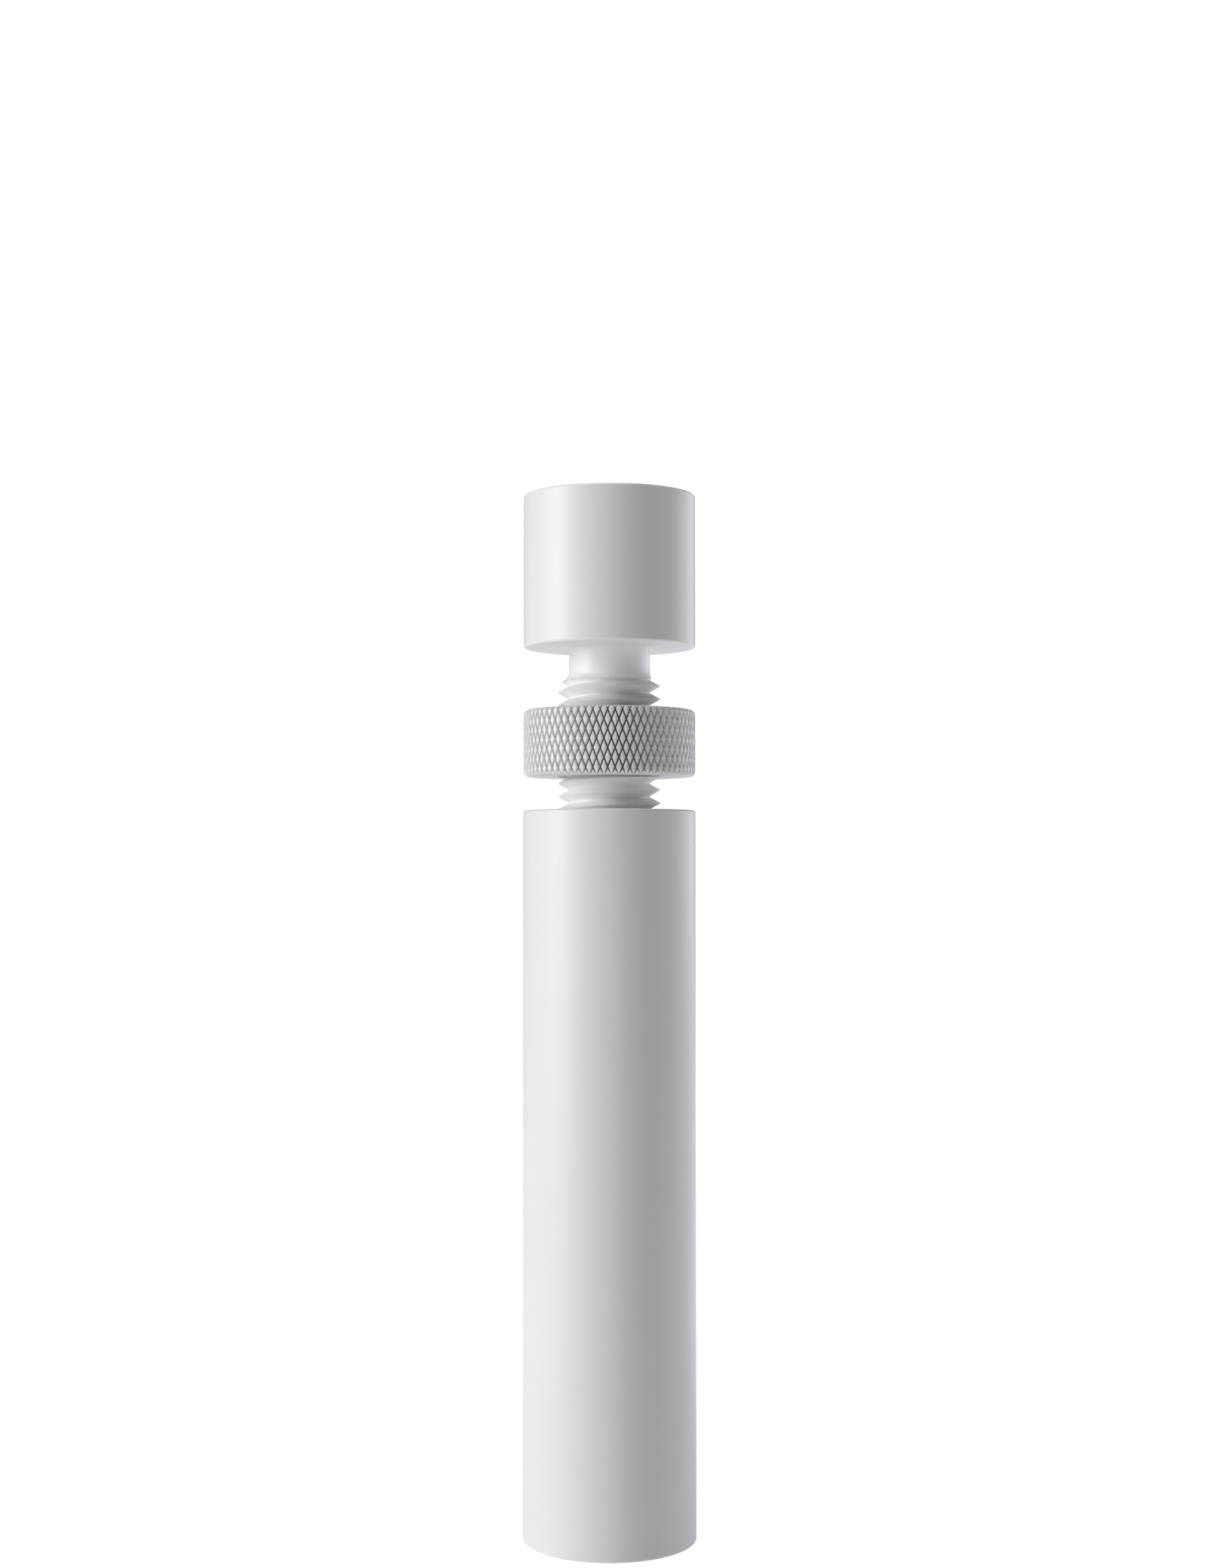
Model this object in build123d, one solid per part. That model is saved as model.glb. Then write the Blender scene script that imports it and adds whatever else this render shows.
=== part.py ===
from build123d import *
import os
from math import cos, pi, radians, sin, tan

os.makedirs("parts", exist_ok=True)

# Graphics card support bracket: a turned column, a round head on a threaded stud that
# screws into the column, and a knurled lock nut on the stud. Millimetres, +Z up,
# with the floor at Z = 0 and the common axis of every piece on Z.

# Overall form
body_diameter = 26.5
column_height = 110.6
head_height = 23.55
shown_gap = 25.05
edge_round = 0.4

# Stud and its thread
thread_diameter = 15.65
thread_pitch = 2.0
thread_depth = 1.55
stud_length = 55.25
neck_length = 4.5
neck_blend = 0.5
end_chamfer = 1.5
thread_steps = 24

# Lock nut
nut_height = 10.2
nut_above_column = 5.2
nut_corner = 0.8
knurl_count = 73
knurl_rows = 6
knurl_depth = 0.35

# Column bore and the seats at its foot
bore_clearance = 0.08
bore_depth = 50.0
mouth_chamfer = 0.8
drill_point_angle = 118.0
magnet_diameter = 20.0
magnet_thickness = 3.0
magnet_clearance = 0.05
foot_pad_diameter = 21.8
foot_pad_thickness = 1.2

# Pad seats
pad_standing_proud = 0.4
foot_pad_clearance = 0.1
top_pad_diameter = 21.0
top_pad_thickness = 1.5
top_pad_clearance = 0.3

# Sizes that follow from those above
body_radius = body_diameter / 2
crest_radius = thread_diameter / 2
root_radius = crest_radius - thread_depth
neck_radius = root_radius * cos(pi / thread_steps)
bore_radius = crest_radius + bore_clearance

# Heights of the faces, from the floor up
column_bottom = pad_standing_proud
column_top = column_bottom + column_height
nut_bottom = column_top + nut_above_column
head_bottom = column_top + shown_gap
head_top = head_bottom + head_height
thread_top = head_bottom - neck_length
stud_end = head_bottom - stud_length


def turned(half_section):
    """A solid turned about Z from its half section, given as (radius, height) points."""
    with BuildSketch(Plane.XZ) as section:
        with BuildLine():
            Polyline(*half_section, close=True)
        make_face()
    return revolve(section.sketch, axis=Axis.Z)


def disc(diameter, thickness, bottom):
    """A plain round disc that stands at the height given."""
    return Pos(0, 0, bottom) * extrude(Circle(diameter / 2), amount=thickness)


def rounded_rim(radius, height, downwards):
    """Points over a rounded outer rim, from the side of the cylinder to its end face."""
    side = -1 if downwards else 1
    points = []
    for turn in (0, 45, 90):
        reach = edge_round * (1 - cos(radians(turn)))
        rise = edge_round * (1 - sin(radians(turn)))
        points.append((radius - reach, height - side * rise))
    return points


def solid_of_facets(facets):
    """A solid closed by flat facets, each given as a list of its corners."""
    faces = [Face(Wire.make_polygon(corners)) for corners in facets]
    return Solid(Shell(faces))


def on_cylinder(radius, angle, height):
    """A point at a radius, an angle in radians and a height."""
    return Vector(radius * cos(angle), radius * sin(angle), height)


def threaded_rod(bottom, top):
    """A right-hand V thread between two heights, as flat facets along its helix."""
    turns = int((top - bottom) / thread_pitch) - 1
    last = turns * thread_steps
    first_root = bottom + (top - bottom - (turns + 1) * thread_pitch) / 2

    def angle(step):
        return 2 * pi * (step % thread_steps) / thread_steps

    def root(step):
        return on_cylinder(root_radius, angle(step), first_root + step * thread_pitch / thread_steps)

    def crest(step):
        return on_cylinder(crest_radius, angle(step), root(step).Z + thread_pitch / 2)

    def end_point(step, height):
        return on_cylinder(root_radius, angle(step), height)

    facets = []
    for step in range(last):
        after = step + 1
        above = step + thread_steps
        facets.append([root(step), root(after), crest(after)])
        facets.append([root(step), crest(after), crest(step)])
        facets.append([crest(step), crest(after), root(above + 1)])
        facets.append([crest(step), root(above + 1), root(above)])

    # The walls below the first turn and above the last one, up to the flat ends.
    below = []
    over = []
    for step in range(thread_steps):
        after = step + 1
        below.append([end_point(step, bottom), end_point(after, bottom), root(after), root(step)])
        step, after = last + step, last + after
        over.append([root(step), root(after), end_point(after, top), end_point(step, top)])
    below[-1].insert(2, root(0))
    over[0].append(root(last + thread_steps))
    facets += below + over
    facets.append([root(0), crest(0), root(thread_steps)])
    facets.append([root(last), crest(last), root(last + thread_steps)])
    for height in (bottom, top):
        facets.append([end_point(step, height) for step in range(thread_steps)])
    return solid_of_facets(facets)


def knurled_blank():
    """The lock nut's outside: a diamond knurl between two chamfered ends."""
    around = 2 * knurl_count
    top = nut_bottom + nut_height
    band = nut_height - 2 * nut_corner

    def knurl(step, row):
        depth = 0 if (step + row) % 2 else knurl_depth
        height = nut_bottom + nut_corner + band * row / knurl_rows
        return on_cylinder(body_radius - depth, 2 * pi * (step % around) / around, height)

    def rim(step, height):
        return on_cylinder(body_radius - nut_corner, 2 * pi * (step % around) / around, height)

    facets = []
    for row in range(knurl_rows):
        for step in range(around):
            corners = [knurl(step, row), knurl(step + 1, row), knurl(step + 1, row + 1), knurl(step, row + 1)]
            if (step + row) % 2:
                corners = corners[1:] + corners[:1]
            facets.append(corners[:3])
            facets.append([corners[2], corners[3], corners[0]])
    for row, height in ((0, nut_bottom), (knurl_rows, top)):
        for step in range(0, around, 2):
            facets.append([knurl(step, row), knurl(step + 1, row), rim(step, height)])
            facets.append([knurl(step + 1, row), rim(step + 2, height), rim(step, height)])
            facets.append([knurl(step + 1, row), knurl(step + 2, row), rim(step + 2, height)])
        facets.append([rim(step, height) for step in range(0, around, 2)])
    return solid_of_facets(facets)


def make_column():
    """The column with its blind bore, and the stepped recess for magnet and foot pad."""
    seat_radius = foot_pad_diameter / 2 + foot_pad_clearance
    seat_top = foot_pad_thickness
    pocket_radius = magnet_diameter / 2 + magnet_clearance
    pocket_top = seat_top + magnet_thickness
    bore_end = column_top - bore_depth
    drill_point = bore_radius / tan(radians(drill_point_angle / 2))
    foot_rim = rounded_rim(body_radius, column_bottom, True)
    top_rim = rounded_rim(body_radius, column_top, False)
    return turned(
        [
            (0, pocket_top),
            (pocket_radius, pocket_top),
            (pocket_radius, seat_top),
            (seat_radius, seat_top),
            (seat_radius, column_bottom),
            *reversed(foot_rim),
            *top_rim,
            (bore_radius + mouth_chamfer, column_top),
            (bore_radius, column_top - mouth_chamfer),
            (bore_radius, bore_end),
            (0, bore_end - drill_point),
        ]
    )


def make_head_stud():
    """The head, its smooth neck and the threaded stud, turned from one bar."""
    seat_radius = top_pad_diameter / 2 + top_pad_clearance
    seat_floor = head_top + pad_standing_proud - top_pad_thickness
    head = turned(
        [
            (0, seat_floor),
            (seat_radius, seat_floor),
            (seat_radius, head_top),
            *reversed(rounded_rim(body_radius, head_top, False)),
            *rounded_rim(body_radius, head_bottom, True),
            (neck_radius + neck_blend, head_bottom),
            (neck_radius, head_bottom - neck_blend),
            (neck_radius, thread_top),
            (0, thread_top),
        ]
    )
    outside = crest_radius + end_chamfer
    run_out_slope = thread_pitch / 2 / thread_depth
    envelope = turned(
        [
            (0, thread_top),
            (neck_radius, thread_top),
            (outside, thread_top - (outside - neck_radius) * run_out_slope),
            (outside, stud_end + 2 * end_chamfer),
            (crest_radius - end_chamfer, stud_end),
            (0, stud_end),
        ]
    )
    rod = threaded_rod(stud_end - thread_pitch, thread_top + thread_pitch)
    return head + (rod & envelope)


def make_lock_nut():
    """The knurled lock nut, with a bore that opens sharp-edged at both faces."""
    cutter = disc(2 * bore_radius, 2 * nut_height, nut_bottom - nut_height / 2)
    return knurled_blank() - cutter


parts = {
    "column": make_column(),
    "magnet": disc(magnet_diameter, magnet_thickness, foot_pad_thickness),
    "foot_pad": disc(foot_pad_diameter, foot_pad_thickness, 0),
    "head_stud": make_head_stud(),
    "lock_nut": make_lock_nut(),
    "top_pad": disc(top_pad_diameter, top_pad_thickness, head_top + pad_standing_proud - top_pad_thickness),
}
for name, solid in parts.items():
    export_step(solid, f"parts/{name}.step")
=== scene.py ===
from math import ceil, cos, pi, radians, sin, tan

import bpy
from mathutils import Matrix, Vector


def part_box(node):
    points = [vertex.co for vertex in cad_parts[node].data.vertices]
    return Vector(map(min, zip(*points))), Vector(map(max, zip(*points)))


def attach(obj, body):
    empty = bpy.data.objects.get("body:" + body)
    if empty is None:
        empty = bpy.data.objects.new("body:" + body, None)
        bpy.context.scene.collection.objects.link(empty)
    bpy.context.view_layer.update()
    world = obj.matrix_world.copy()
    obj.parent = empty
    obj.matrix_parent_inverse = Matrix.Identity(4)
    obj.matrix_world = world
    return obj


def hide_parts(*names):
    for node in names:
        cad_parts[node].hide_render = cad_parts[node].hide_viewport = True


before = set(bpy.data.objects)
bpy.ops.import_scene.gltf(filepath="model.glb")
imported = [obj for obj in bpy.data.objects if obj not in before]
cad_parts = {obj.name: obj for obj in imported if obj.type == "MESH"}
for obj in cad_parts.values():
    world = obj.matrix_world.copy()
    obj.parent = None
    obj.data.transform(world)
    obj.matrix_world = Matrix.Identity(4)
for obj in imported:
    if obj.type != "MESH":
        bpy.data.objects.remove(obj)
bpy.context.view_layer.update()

# A free-standing support bracket: a column, a head whose threaded stud screws down into
# it, a knurled lock nut on the stud, and a soft pad at each end. Lengths are in metres.

MM = 0.001

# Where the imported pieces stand: each box gives a lowest and a highest corner.
column_low, column_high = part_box("column")
head_low, head_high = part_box("head_stud")
nut_low, nut_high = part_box("lock_nut")
top_pad_low, top_pad_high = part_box("top_pad")
foot_pad_low, foot_pad_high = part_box("foot_pad")
_, magnet_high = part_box("magnet")

BODY_RADIUS = column_high.x
COLUMN_BOTTOM = column_low.z
COLUMN_TOP = column_high.z
HEAD_TOP = head_high.z
STUD_END = head_low.z
NUT_BOTTOM = nut_low.z
NUT_TOP = nut_high.z

# Sizes that the boxes don't give, the same as the solids have. The thread's lowest root
# lies FIRST_ROOT_RISE above the stud's end.
HEAD_HEIGHT = 23.55 * MM
NECK_LENGTH = 4.5 * MM
NECK_RADIUS = 6.221 * MM
NECK_BLEND = 0.5 * MM
CREST_RADIUS = 7.825 * MM
ROOT_RADIUS = 6.275 * MM
PITCH = 2.0 * MM
FIRST_ROOT_RISE = 0.375 * MM
END_CHAMFER = 1.5 * MM
BORE_RADIUS = 7.905 * MM
BORE_DEPTH = 50.0 * MM
MOUTH_CHAMFER = 0.8 * MM
EDGE_ROUND = 0.4 * MM
NUT_CORNER = 0.8 * MM
FOOT_SEAT_GAP = 0.1 * MM
TOP_SEAT_GAP = 0.3 * MM
MAGNET_GAP = 0.05 * MM

HEAD_BOTTOM = HEAD_TOP - HEAD_HEIGHT
THREAD_TOP = HEAD_BOTTOM - NECK_LENGTH

# The column's own thread, with its play round the stud's, and the drill's point below it.
THREAD_GAP = 0.06 * MM
TAPPED_DEPTH = 44.0 * MM
DRILL_TIP = 3.8 * MM

# The flats on a thread's crests and in its roots, and the places of its edges, all as
# shares of the pitch from one root to the next.
CREST_LAND = 0.06
ROOT_LAND = 0.08
THREAD_SHARES = (ROOT_LAND / 2, 0.5 - CREST_LAND / 2, 0.5 + CREST_LAND / 2, 1 - ROOT_LAND / 2)

# Fine roundings that the solids leave out.
SEAT_ROUND = 0.1 * MM
FOOT_LIP_ROUND = 0.15 * MM
MOUTH_ROUND = 0.05 * MM
TOP_PAD_ROUND = 0.2 * MM
FOOT_PAD_ROUND = 0.15 * MM

# The knurl: how many diamonds go round the nut, how tall and how domed each one is, and
# how deep its grooves are. A groove's half width is in steps of the mesh.
KNURL_COUNT = 73
DIAMOND_HEIGHT = 2.87 * MM
DIAMOND_DOME = 0.1 * MM
GROOVE_DEPTH = 0.7 * MM
GROOVE_HALF_WIDTH = 2.6

# The name under which the nut's mesh keeps the depth of its grooves.
GROOVE = "groove_depth"

# How finely things are divided: steps round a turned piece and round a pad, steps across
# a diamond, and steps in a rounded edge.
SEGMENTS = 144
PAD_SEGMENTS = 96
DIAMOND_STEPS = 16
ARC_STEPS = 6

# How far the rings beside a thread lie from it, and those on the countersink from its edges.
RING_GAP = 0.3 * MM

# Edges that bend by more degrees than this stay sharp, on most pieces and on threaded ones.
CREASE = 28
THREAD_CREASE = 75


def camera():
    """The photograph's camera: level with the upper part of the column, tipped up a little.

    The focal length and the photograph's height are in pixels of the photograph.
    """
    photo_height = 2080
    focal_length = 3086
    distance = 357.75 * MM
    eye_height = 100.87 * MM
    aside = -0.985 * MM
    tip_up = radians(2.28)
    data = bpy.data.cameras.new("photo_camera")
    data.sensor_width = 36
    data.sensor_fit = "AUTO"
    data.lens = focal_length / photo_height * data.sensor_width
    data.clip_start = 0.01
    data.clip_end = 100
    view = bpy.data.objects.new("photo_camera", data)
    view.location = (aside, -distance, eye_height)
    view.rotation_euler = (pi / 2 + tip_up, 0, 0)
    bpy.context.scene.collection.objects.link(view)
    bpy.context.scene.camera = view


camera()


class Skin:
    """Collects the corners and faces of one closed piece turned about Z."""

    def __init__(self, segments):
        self.segments = segments
        self.corners = []
        self.faces = []

    def point(self, radius, angle, height):
        """Adds a corner and gives its number."""
        self.corners.append((radius * cos(angle), radius * sin(angle), height))
        return len(self.corners) - 1

    def ring(self, radius, height):
        """A ring of corners, or a single one where the radius is zero."""
        if radius <= 0:
            return [self.point(0, 0, height)]
        turn = 2 * pi / self.segments
        return [self.point(radius, step * turn, height) for step in range(self.segments)]

    def band(self, first, second):
        """Faces between two rings, facing outwards when the second is above the first."""
        for step in range(self.segments):
            after = (step + 1) % self.segments
            if len(first) == 1:
                self.faces.append((first[0], second[after], second[step]))
            elif len(second) == 1:
                self.faces.append((first[step], first[after], second[0]))
            else:
                self.faces.append((first[step], first[after], second[after], second[step]))

    def sweep(self, outline, start=None, end=None):
        """Bands along an outline of (radius, height) points, joined to the rings given."""
        rings = [start] if start else []
        rings += [self.ring(radius, height) for radius, height in outline]
        rings += [end] if end else []
        for first, second in zip(rings, rings[1:]):
            self.band(first, second)

    def piece(self, name, material, body, nodes, crease=CREASE):
        """The finished object, riding on its body in place of the nodes named."""
        mesh = bpy.data.meshes.new(name)
        mesh.from_pydata(self.corners, [], self.faces)
        mesh.validate()
        mesh.shade_smooth()
        mesh.set_sharp_from_angle(angle=radians(crease))
        mesh.materials.append(material)
        made = bpy.data.objects.new(name, mesh)
        bpy.context.scene.collection.objects.link(made)
        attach(made, body)
        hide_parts(*nodes)
        return made


def arc(before, here, after, rounding):
    """The points of an arc that rounds the corner between two straight runs."""
    back = (before - here).normalized()
    ahead = (after - here).normalized()
    half = back.angle(ahead) / 2
    reach = rounding / tan(half)
    centre = here + (back + ahead).normalized() * (rounding / sin(half))
    start = here + back * reach - centre
    end = here + ahead * reach - centre
    sweep = pi - 2 * half
    turn = sweep if start.x * end.y - start.y * end.x > 0 else -sweep
    points = []
    for step in range(ARC_STEPS + 1):
        angle = turn * step / ARC_STEPS
        turned = (
            start.x * cos(angle) - start.y * sin(angle),
            start.x * sin(angle) + start.y * cos(angle),
        )
        points.append(centre + Vector(turned))
    return points


def rounded(corners):
    """An outline through (radius, height, rounding) corners, with an arc at each rounding.

    The first and the last corner have none. Long straight runs get a point close to each
    end, which keeps their shading flat.
    """
    hold = 0.04 * MM
    long_run = 10 * hold
    places = [Vector((radius, height)) for radius, height, _ in corners]
    outline = []
    for at, (_, _, rounding) in enumerate(corners):
        if rounding > 0:
            outline += arc(places[at - 1], places[at], places[at + 1], rounding)
        else:
            outline.append(places[at])
    held = []
    for first, second in zip(outline, outline[1:]):
        held.append(first)
        run = second - first
        if run.length > long_run:
            held += [first + run.normalized() * hold, second - run.normalized() * hold]
    held.append(outline[-1])
    return [(max(point.x, 0), point.y) for point in held]


def thread_radius(share):
    """The stud's radius at a share of the pitch, from one root to the next."""
    away = abs(share - 0.5) * 2
    flank = (away - CREST_LAND) / (1 - CREST_LAND - ROOT_LAND)
    return CREST_RADIUS - (CREST_RADIUS - ROOT_RADIUS) * min(max(flank, 0), 1)


def share_of_row(row, height):
    """The share of the pitch at which a row of a full thread lies, whatever its height."""
    return THREAD_SHARES[row]


def thread_corners(skin, first_root, turns, radius_at, share_at):
    """The corners of a helical thread, by step along it and by row from root to root.

    radius_at(share, height) gives the surface's radius, and share_at(row, height) where
    a row lies above the root's height.
    """
    count = skin.segments
    rows = len(THREAD_SHARES)
    last = turns * count
    corner = {}
    for step in range(last + count + 1):
        root_height = first_root + PITCH * step / count
        angle = 2 * pi * (step % count) / count
        for row in range(rows if step <= last else 1):
            share = share_at(row, root_height)
            height = root_height + PITCH * share
            corner[step, row] = skin.point(radius_at(share, height), angle, height)
    for step in range(last + 1):
        corner[step, rows] = corner[step + count, 0]
    return corner


def threaded(skin, first_root, turns, low_ring, high_ring, radius_at, share_at, inside):
    """A helical thread between two rings at its root, closed at both ends.

    Its surface is as thread_corners says. Inside threads face the axis.
    """
    count = skin.segments
    rows = len(THREAD_SHARES)
    last = turns * count
    corner = thread_corners(skin, first_root, turns, radius_at, share_at)

    def face(*loop):
        skin.faces.append(tuple(reversed(loop)) if inside else loop)

    for step in range(last):
        after = step + 1
        for row in range(rows):
            face(corner[step, row], corner[after, row], corner[after, row + 1], corner[step, row + 1])

    # The cut ends of the helix.
    face(*[corner[0, row] for row in range(rows + 1)])
    face(*[corner[last, row] for row in reversed(range(rows + 1))])

    # The walls from the first and the last turn to the rings.
    for step in range(count):
        after = (step + 1) % count
        low = [low_ring[step], low_ring[after], corner[step + 1, 0], corner[step, 0]]
        high = [corner[last + step, 0], corner[last + step + 1, 0], high_ring[after], high_ring[step]]
        if step == count - 1:
            low.insert(2, corner[0, 0])
        if step == 0:
            high.append(corner[last + count, 0])
        face(*low)
        face(*high)


def stud(skin):
    """The threaded stud, from its flat end up to a ring on the neck, which it gives."""
    run_out_slope = PITCH / 2 / (CREST_RADIUS - ROOT_RADIUS)

    def radius_at(share, height):
        """The thread's radius, cut down by its run-out above and by the chamfer below."""
        run_out = NECK_RADIUS + max(THREAD_TOP - height, 0) / run_out_slope
        tip = CREST_RADIUS - END_CHAMFER + max(height - STUD_END, 0)
        return min(thread_radius(share), run_out, tip)

    def share_at(row, height):
        """The lower edge of the crest slides down its flank where the run-out cuts it off."""
        lower_crest_row = 1
        share = THREAD_SHARES[row]
        if row != lower_crest_row:
            return share
        root_share = THREAD_SHARES[0]
        flank_slope = (CREST_RADIUS - ROOT_RADIUS) / (share - root_share)
        room = NECK_RADIUS - ROOT_RADIUS + (THREAD_TOP - height) / run_out_slope
        cut = (room + flank_slope * root_share) / (flank_slope + PITCH / run_out_slope)
        return min(max(cut, root_share), share)

    first_root = STUD_END + FIRST_ROOT_RISE
    turns = ceil((THREAD_TOP - first_root) / PITCH) - 1
    low_ring = skin.ring(ROOT_RADIUS, STUD_END)
    neck_ring = skin.ring(NECK_RADIUS, first_root + (turns + 1) * PITCH + RING_GAP)
    skin.band(skin.ring(0, STUD_END), low_ring)
    threaded(skin, first_root, turns, low_ring, neck_ring, radius_at, share_at, False)
    return neck_ring


def head_and_stud(material):
    """The head, its neck and the threaded stud as one closed piece."""
    skin = Skin(SEGMENTS)
    neck_ring = stud(skin)
    seat_radius = top_pad_high.x + TOP_SEAT_GAP
    seat_floor = top_pad_low.z
    outline = rounded(
        [
            (NECK_RADIUS, HEAD_BOTTOM - 3 * NECK_BLEND, 0),
            (NECK_RADIUS, HEAD_BOTTOM, NECK_BLEND),
            (BODY_RADIUS, HEAD_BOTTOM, EDGE_ROUND),
            (BODY_RADIUS, HEAD_TOP, EDGE_ROUND),
            (seat_radius, HEAD_TOP, SEAT_ROUND),
            (seat_radius, seat_floor, SEAT_ROUND),
            (0, seat_floor, 0),
        ]
    )
    skin.sweep(outline, start=neck_ring)
    skin.piece("head_and_stud", material, "head", ["head_stud"], THREAD_CREASE)


def bore_thread(skin, mouth_radius, drill_radius):
    """The column's own thread, in step with the stud's. It gives the rings at its ends."""

    def radius_at(share, height):
        countersink = mouth_radius - (COLUMN_TOP - height)
        return max(thread_radius(share) + THREAD_GAP, countersink)

    stud_root = STUD_END + FIRST_ROOT_RISE
    turns_below_stud = int((stud_root - (COLUMN_TOP - TAPPED_DEPTH)) / PITCH)
    first_root = stud_root - turns_below_stud * PITCH
    turns = int((COLUMN_TOP - MOUTH_CHAMFER - first_root) / PITCH) - 1
    high_ring = skin.ring(BORE_RADIUS + RING_GAP, COLUMN_TOP - MOUTH_CHAMFER + RING_GAP)
    low_ring = skin.ring(drill_radius, first_root - RING_GAP)
    threaded(skin, first_root, turns, low_ring, high_ring, radius_at, share_of_row, True)
    return low_ring, high_ring


def column_body(material):
    """The column, with the thread of its bore and the recesses in its foot."""
    skin = Skin(SEGMENTS)
    pocket_radius = magnet_high.x + MAGNET_GAP
    seat_radius = foot_pad_high.x + FOOT_SEAT_GAP
    mouth_radius = BORE_RADIUS + MOUTH_CHAMFER
    drill_radius = ROOT_RADIUS + THREAD_GAP
    low_ring, high_ring = bore_thread(skin, mouth_radius, drill_radius)
    outside = rounded(
        [
            (0, magnet_high.z, 0),
            (pocket_radius, magnet_high.z, 0),
            (pocket_radius, foot_pad_high.z, SEAT_ROUND),
            (seat_radius, foot_pad_high.z, 0),
            (seat_radius, COLUMN_BOTTOM, FOOT_LIP_ROUND),
            (BODY_RADIUS, COLUMN_BOTTOM, EDGE_ROUND),
            (BODY_RADIUS, COLUMN_TOP, EDGE_ROUND),
            (mouth_radius, COLUMN_TOP, MOUTH_ROUND),
            (mouth_radius - RING_GAP, COLUMN_TOP - RING_GAP, 0),
        ]
    )
    skin.sweep(outside, end=high_ring)
    bore_bottom = COLUMN_TOP - BORE_DEPTH
    skin.sweep([(drill_radius, bore_bottom), (0, bore_bottom - DRILL_TIP)], start=low_ring)
    skin.piece("column_body", material, "column", ["column"], THREAD_CREASE)


def knurl_depth(column, row):
    """How far the surface lies below the outside of the knurl."""
    rising = (column - row) % DIAMOND_STEPS
    falling = (column + row) % DIAMOND_STEPS
    near = min(rising, DIAMOND_STEPS - rising, falling, DIAMOND_STEPS - falling)
    groove = max(1 - near / GROOVE_HALF_WIDTH, 0)
    crown = 1 - near / (DIAMOND_STEPS / 2)
    return GROOVE_DEPTH * groove + DIAMOND_DOME * crown**2


def nut_outline():
    """The nut's rounded outside without its knurl, as (radius, height) from below upwards."""
    straight = NUT_TOP - NUT_BOTTOM - 2 * NUT_CORNER
    corner_run = NUT_CORNER * pi / 2
    rows = round((straight + 2 * corner_run) / (DIAMOND_HEIGHT / DIAMOND_STEPS))
    half_run = straight / 2 + corner_run
    middle = (NUT_TOP + NUT_BOTTOM) / 2
    outline = []
    for row in range(rows + 1):
        run = (2 * row / rows - 1) * half_run
        beyond = max(abs(run) - straight / 2, 0) / NUT_CORNER
        side = 1 if run > 0 else -1
        height = min(abs(run), straight / 2) + NUT_CORNER * sin(beyond)
        outline.append((BODY_RADIUS - NUT_CORNER * (1 - cos(beyond)), middle + side * height))
    return outline


def knurled_side(skin):
    """The nut's knurled side: its rings from below upwards, and how deep each corner lies.

    The depths are shares of a groove's depth. Each square of the mesh is split along the
    nearer groove, which keeps the grooves straight.
    """
    columns = skin.segments
    turn = 2 * pi / columns
    rings = []
    depths = []
    for row, (radius, height) in enumerate(nut_outline()):
        ring = []
        for column in range(columns):
            cut = BODY_RADIUS - knurl_depth(column, row)
            ring.append(skin.point(min(radius, cut), column * turn, height))
            depths.append(max(radius - cut, 0) / GROOVE_DEPTH)
        rings.append(ring)
    for row, (below, above) in enumerate(zip(rings, rings[1:])):
        for column in range(columns):
            after = (column + 1) % columns
            rising = (column - row) % DIAMOND_STEPS
            falling = (column + row + 1) % DIAMOND_STEPS
            if min(rising, DIAMOND_STEPS - rising) < min(falling, DIAMOND_STEPS - falling):
                skin.faces.append((below[column], below[after], above[after]))
                skin.faces.append((below[column], above[after], above[column]))
            else:
                skin.faces.append((below[column], below[after], above[column]))
                skin.faces.append((below[after], above[after], above[column]))
    return rings, depths


def knurled_nut(material):
    """The round lock nut: a diamond knurl that runs out over its rounded corners.

    Its mesh keeps the share of a groove's depth at each corner, for the painted shade in the grooves.
    """
    skin = Skin(KNURL_COUNT * DIAMOND_STEPS)
    rings, depths = knurled_side(skin)
    face_step = 0.05 * MM
    face_edge = BODY_RADIUS - NUT_CORNER - face_step
    inside = rounded(
        [
            (face_edge, NUT_TOP, 0),
            (BORE_RADIUS, NUT_TOP, 0),
            (BORE_RADIUS, NUT_BOTTOM, 0),
            (face_edge, NUT_BOTTOM, 0),
        ]
    )
    skin.sweep(inside, start=rings[-1], end=rings[0])
    nut = skin.piece("knurled_lock_nut", material, "nut", ["lock_nut"])
    groove = nut.data.attributes.new(GROOVE, "FLOAT", "POINT")
    depths += [0.0] * (len(skin.corners) - len(depths))
    groove.data.foreach_set("value", depths)


def pad(name, low, high, rim, material, body, node):
    """A soft round pad with a rounded rim above and below."""
    skin = Skin(PAD_SEGMENTS)
    outline = rounded([(0, low.z, 0), (high.x, low.z, rim), (high.x, high.z, rim), (0, high.z, 0)])
    skin.sweep(outline)
    skin.piece(name, material, body, [node])


def node_group(name, inputs, outputs):
    """An empty shader node group, with its inputs' starting values, and its two end nodes."""
    group = bpy.data.node_groups.new(name, "ShaderNodeTree")
    for label, kind, value in inputs:
        socket = group.interface.new_socket(label, in_out="INPUT", socket_type=kind)
        socket.default_value = value
    for label, kind in outputs:
        group.interface.new_socket(label, in_out="OUTPUT", socket_type=kind)
    return group, group.nodes.new("NodeGroupInput"), group.nodes.new("NodeGroupOutput")


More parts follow.
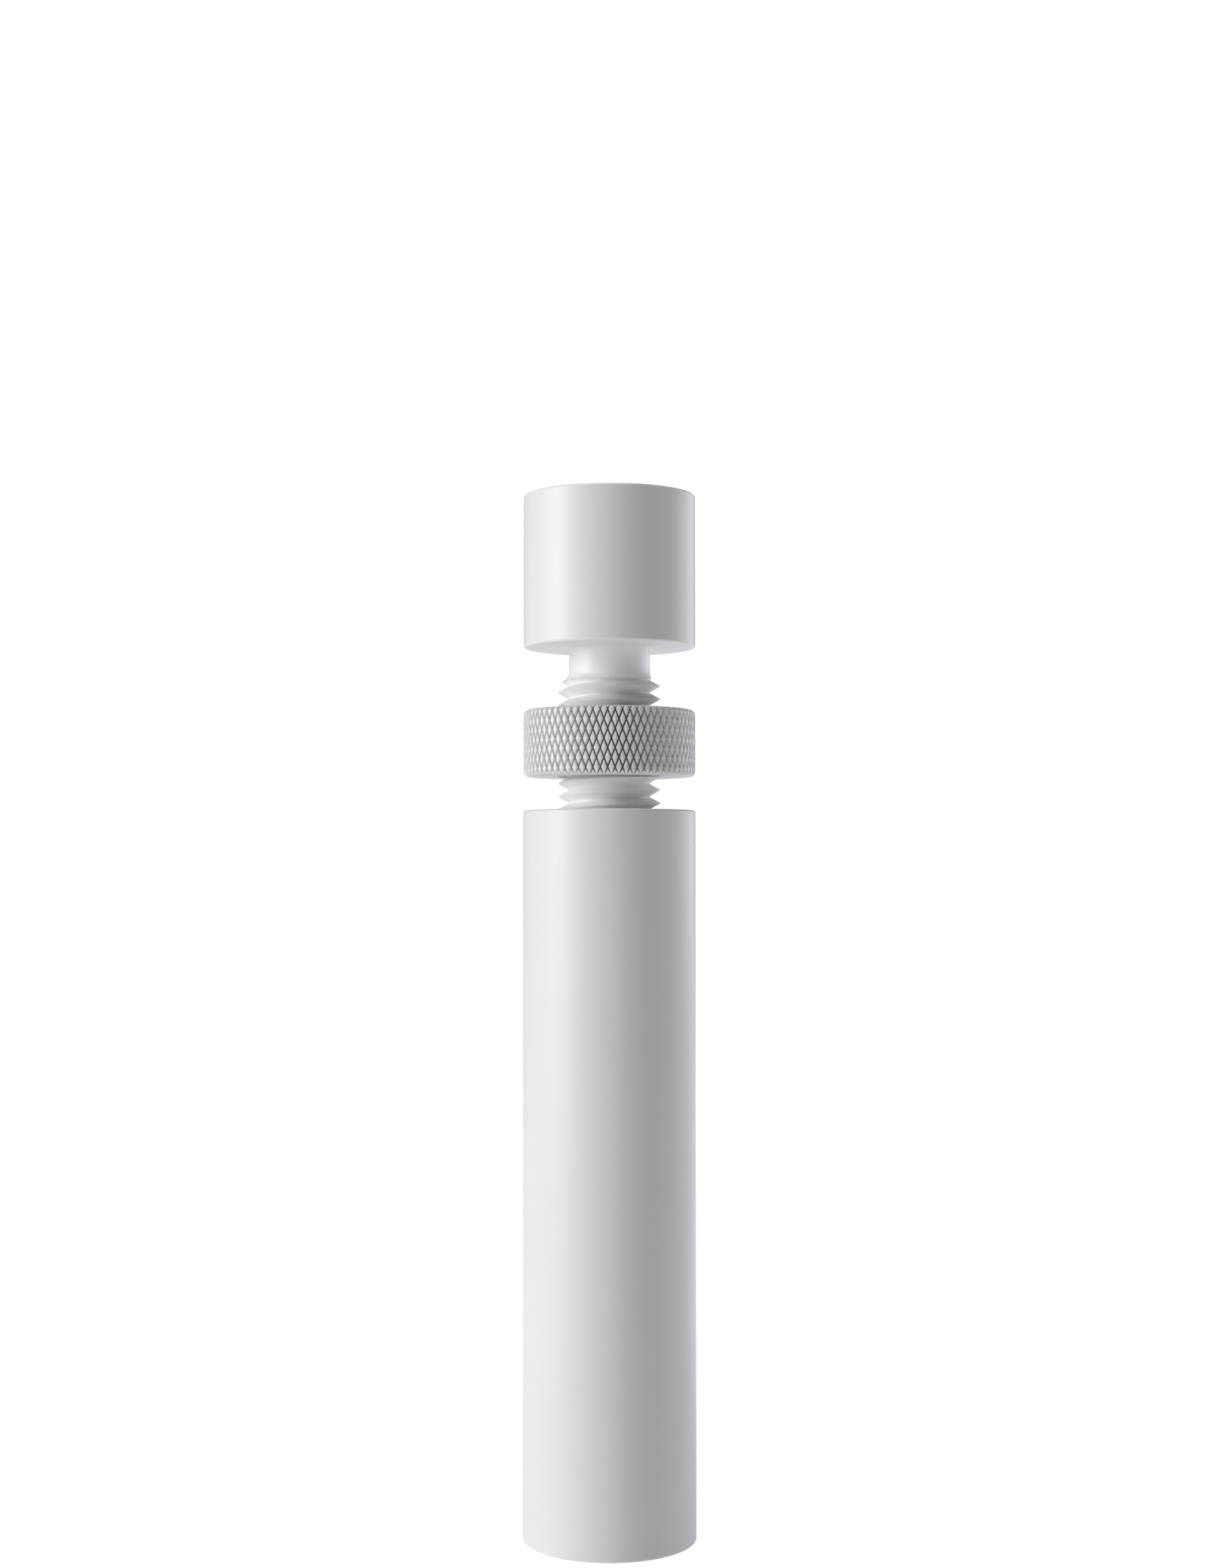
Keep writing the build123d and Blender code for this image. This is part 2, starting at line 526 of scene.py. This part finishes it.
def grain_group():
    """Fine and broad unevenness: a colour factor, a roughness factor and a normal."""
    group, given, result = node_group(
        "surface_grain",
        [
            ("Fine Scale", "NodeSocketFloat", 2500.0),
            ("Broad Scale", "NodeSocketFloat", 60.0),
            ("Bump", "NodeSocketFloat", 0.05),
            ("Depth", "NodeSocketFloat", 0.02 * MM),
        ],
        [("Tint", "NodeSocketFloat"), ("Gloss", "NodeSocketFloat"), ("Normal", "NodeSocketVector")],
    )
    place = group.nodes.new("ShaderNodeTexCoord")
    fine = group.nodes.new("ShaderNodeTexNoise")
    fine.inputs["Detail"].default_value = 3.0
    broad = group.nodes.new("ShaderNodeTexNoise")
    broad.inputs["Detail"].default_value = 4.0
    bump = group.nodes.new("ShaderNodeBump")
    links = group.links
    for texture, scale in ((fine, "Fine Scale"), (broad, "Broad Scale")):
        links.new(place.outputs["Object"], texture.inputs["Vector"])
        links.new(given.outputs[scale], texture.inputs["Scale"])
    links.new(fine.outputs["Fac"], bump.inputs["Height"])
    links.new(given.outputs["Bump"], bump.inputs["Strength"])
    links.new(given.outputs["Depth"], bump.inputs["Distance"])
    links.new(broad.outputs["Fac"], result.inputs["Tint"])
    links.new(fine.outputs["Fac"], result.inputs["Gloss"])
    links.new(bump.outputs["Normal"], result.inputs["Normal"])
    return group


GRAIN = grain_group()


def surface(name, dark, light, low_roughness, high_roughness, grain):
    """A material whose colour and roughness vary with the grain group, and its shader.

    The noise stays mostly between dark_end and light_end, so the colours change there.
    """
    dark_end = 0.3
    light_end = 0.7
    material = bpy.data.materials.new(name)
    material.use_nodes = True
    tree = material.node_tree
    shader = tree.nodes["Principled BSDF"]
    texture = tree.nodes.new("ShaderNodeGroup")
    texture.node_tree = GRAIN
    for label, value in grain.items():
        texture.inputs[label].default_value = value
    tint = tree.nodes.new("ShaderNodeValToRGB")
    for stop, place, colour in zip(tint.color_ramp.elements, (dark_end, light_end), (dark, light)):
        stop.position = place
        stop.color = (*colour, 1)
    gloss = tree.nodes.new("ShaderNodeMapRange")
    gloss.inputs["To Min"].default_value = low_roughness
    gloss.inputs["To Max"].default_value = high_roughness
    tree.links.new(texture.outputs["Tint"], tint.inputs["Fac"])
    tree.links.new(tint.outputs["Color"], shader.inputs["Base Color"])
    tree.links.new(texture.outputs["Gloss"], gloss.inputs["Value"])
    tree.links.new(gloss.outputs["Result"], shader.inputs["Roughness"])
    tree.links.new(texture.outputs["Normal"], shader.inputs["Normal"])
    return material, shader


def white_paint():
    """Satin white paint, very slightly cool, with a fine even texture."""
    material, shader = surface(
        "satin_white_paint",
        dark=(0.88, 0.88, 0.882),
        light=(0.90, 0.90, 0.902),
        low_roughness=0.42,
        high_roughness=0.50,
        grain={"Fine Scale": 3200.0, "Broad Scale": 55.0, "Bump": 0.12, "Depth": 0.01 * MM},
    )
    shader.inputs["Coat Weight"].default_value = 0.12
    shader.inputs["Coat Roughness"].default_value = 0.3
    return material


def knurl_paint_with_painted_groove_shade():
    """The same white paint, with painted shade that darkens the bottoms of the knurl's grooves.

    It darkens between two shares of a groove's depth. The second is over 1, because the
    doming of the diamonds makes the grooves a little deeper.
    """
    starts_to_darken = 0.42
    darkest = 1.15
    shadow = (0.12, 0.12, 0.125, 1)
    material = white_paint()
    material.name = "knurl_white_paint_painted_groove_shade"
    tree = material.node_tree
    shader = tree.nodes["Principled BSDF"]
    paint_colour = shader.inputs["Base Color"].links[0].from_socket
    # Painted shade: the paint turns dark with the groove's depth, in place of the shade deep in the
    # grooves.
    depth = tree.nodes.new("ShaderNodeAttribute")
    depth.attribute_name = GROOVE
    share = tree.nodes.new("ShaderNodeMapRange")
    share.inputs["From Min"].default_value = starts_to_darken
    share.inputs["From Max"].default_value = darkest
    mixed = tree.nodes.new("ShaderNodeMix")
    mixed.data_type = "RGBA"
    mixed.inputs["B"].default_value = shadow
    tree.links.new(depth.outputs["Fac"], share.inputs["Value"])
    tree.links.new(share.outputs["Result"], mixed.inputs["Factor"])
    tree.links.new(paint_colour, mixed.inputs["A"])
    tree.links.new(mixed.outputs["Result"], shader.inputs["Base Color"])
    return material


def silicone():
    """Matte white silicone that light enters a little."""
    material, shader = surface(
        "white_silicone",
        dark=(0.78, 0.78, 0.765),
        light=(0.84, 0.84, 0.825),
        low_roughness=0.5,
        high_roughness=0.65,
        grain={"Fine Scale": 1800.0, "Broad Scale": 120.0, "Bump": 0.3, "Depth": 0.03 * MM},
    )
    shader.inputs["Subsurface Weight"].default_value = 0.15
    shader.inputs["Subsurface Radius"].default_value = (1.2 * MM, 1.2 * MM, 1.0 * MM)
    return material


def rubber():
    """Matte black rubber with a fine grain."""
    material, _ = surface(
        "black_rubber",
        dark=(0.018, 0.018, 0.019),
        light=(0.035, 0.035, 0.036),
        low_roughness=0.6,
        high_roughness=0.8,
        grain={"Fine Scale": 1500.0, "Broad Scale": 200.0, "Bump": 0.5, "Depth": 0.04 * MM},
    )
    return material


def nickel():
    """Bright nickel plating with a fine even grain."""
    material, shader = surface(
        "nickel_plating",
        dark=(0.58, 0.57, 0.55),
        light=(0.68, 0.67, 0.65),
        low_roughness=0.16,
        high_roughness=0.3,
        grain={"Fine Scale": 900.0, "Broad Scale": 150.0, "Bump": 0.1, "Depth": 0.01 * MM},
    )
    shader.inputs["Metallic"].default_value = 1.0
    return material


def soft_box(name, width, tall, power, tint, place, turn):
    """A rectangular soft light that the camera doesn't see."""
    data = bpy.data.lights.new(name, "AREA")
    data.shape = "RECTANGLE"
    data.size = width
    data.size_y = tall
    data.energy = power
    data.color = tint
    light = bpy.data.objects.new(name, data)
    light.location = place
    light.rotation_euler = turn
    light.visible_camera = False
    bpy.context.scene.collection.objects.link(light)


def standing_light(name, azimuth, width, low, high, power, tint):
    """A soft box that faces the part level, between two heights, at an azimuth from the front."""
    away = 2.0
    angle = radians(azimuth)
    place = (away * sin(angle), -away * cos(angle), (low + high) / 2)
    soft_box(name, width, high - low, power, tint, place, (pi / 2, 0, angle))


def lying_light(name, azimuth, width, near, far, power, tint):
    """A soft box that lies on the floor and faces up, and runs outwards at an azimuth."""
    above_floor = 1.0 * MM
    angle = radians(azimuth)
    middle = (near + far) / 2
    place = (middle * sin(angle), -middle * cos(angle), above_floor)
    soft_box(name, width, far - near, power, tint, place, (pi, 0, angle))


def lights():
    """A broad low key light on the left, weaker ones on the right, and one overhead.

    The one on the floor behind keeps the column's right rim light down to its foot.
    """
    warm = (1.0, 0.995, 0.985)
    neutral = (1, 1, 1)
    cool = (0.965, 0.985, 1.03)
    standing_light("key_light", -70, 1.0, 0.0, 1.2, 29.1, warm)
    standing_light("right_light", 112, 0.6, 0.0, 0.8, 4.8, cool)
    standing_light("back_right_light", 138, 0.6, 0.0, 0.8, 5.75, cool)
    lying_light("floor_light", 158, 0.3, 0.1, 1.9, 1.1, cool)
    above = (0, 0, 2.0)
    downwards = (0, 0, 0)
    soft_box("overhead_light", 0.8, 0.8, 18.0, neutral, above, downwards)


def shows_to_camera(tree, colour):
    """An emission that only the camera sees, so that it adds no light to the part."""
    glow = tree.nodes.new("ShaderNodeEmission")
    path = tree.nodes.new("ShaderNodeLightPath")
    glow.inputs["Color"].default_value = colour
    tree.links.new(path.outputs["Is Camera Ray"], glow.inputs["Strength"])
    return glow


def surround():
    """The white surround behind the part, seen by the camera only."""
    world = bpy.data.worlds.new("white_surround")
    bpy.context.scene.world = world
    world.use_nodes = True
    tree = world.node_tree
    sky = tree.nodes["Background"]
    sky.inputs["Color"].default_value = (1.1, 1.1, 1.1, 1)
    path = tree.nodes.new("ShaderNodeLightPath")
    tree.links.new(path.outputs["Is Camera Ray"], sky.inputs["Strength"])


def floor_finish():
    """A matte floor with an even glow, which the camera sees as plain white."""
    finish = bpy.data.materials.new("white_floor")
    finish.use_nodes = True
    tree = finish.node_tree
    shader = tree.nodes["Principled BSDF"]
    shader.inputs["Base Color"].default_value = (0.5, 0.5, 0.5, 1)
    shader.inputs["Roughness"].default_value = 0.9
    shader.inputs["Specular IOR Level"].default_value = 0.0
    glow = tree.nodes.new("ShaderNodeEmission")
    glow.name = "floor_glow"
    glow.inputs["Color"].default_value = (0.375, 0.38, 0.4, 1)
    white = shows_to_camera(tree, (0.75, 0.75, 0.75, 1))
    total = shader.outputs["BSDF"]
    for source in (glow, white):
        add = tree.nodes.new("ShaderNodeAddShader")
        tree.links.new(total, add.inputs[0])
        tree.links.new(source.outputs["Emission"], add.inputs[1])
        total = add.outputs["Shader"]
    tree.links.new(total, tree.nodes["Material Output"].inputs["Surface"])
    return finish


def floor():
    """The plain floor, which sends light up to the faces that look down."""
    reach = 20
    sides = 96
    bpy.ops.mesh.primitive_circle_add(vertices=sides, radius=reach, fill_type="NGON")
    ground = bpy.context.object
    ground.name = "studio_floor"
    ground.data.materials.append(floor_finish())


paint = white_paint()
head_and_stud(paint)
column_body(paint)
knurled_nut(knurl_paint_with_painted_groove_shade())
pad(
    "silicone_top_pad",
    top_pad_low,
    top_pad_high,
    TOP_PAD_ROUND,
    silicone(),
    "rest_pad",
    "top_pad",
)
pad(
    "rubber_foot_pad",
    foot_pad_low,
    foot_pad_high,
    FOOT_PAD_ROUND,
    rubber(),
    "column",
    "foot_pad",
)
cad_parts["magnet"].material_slots[0].material = nickel()
lights()
surround()
floor()
bpy.context.scene.view_settings.view_transform = "Standard"
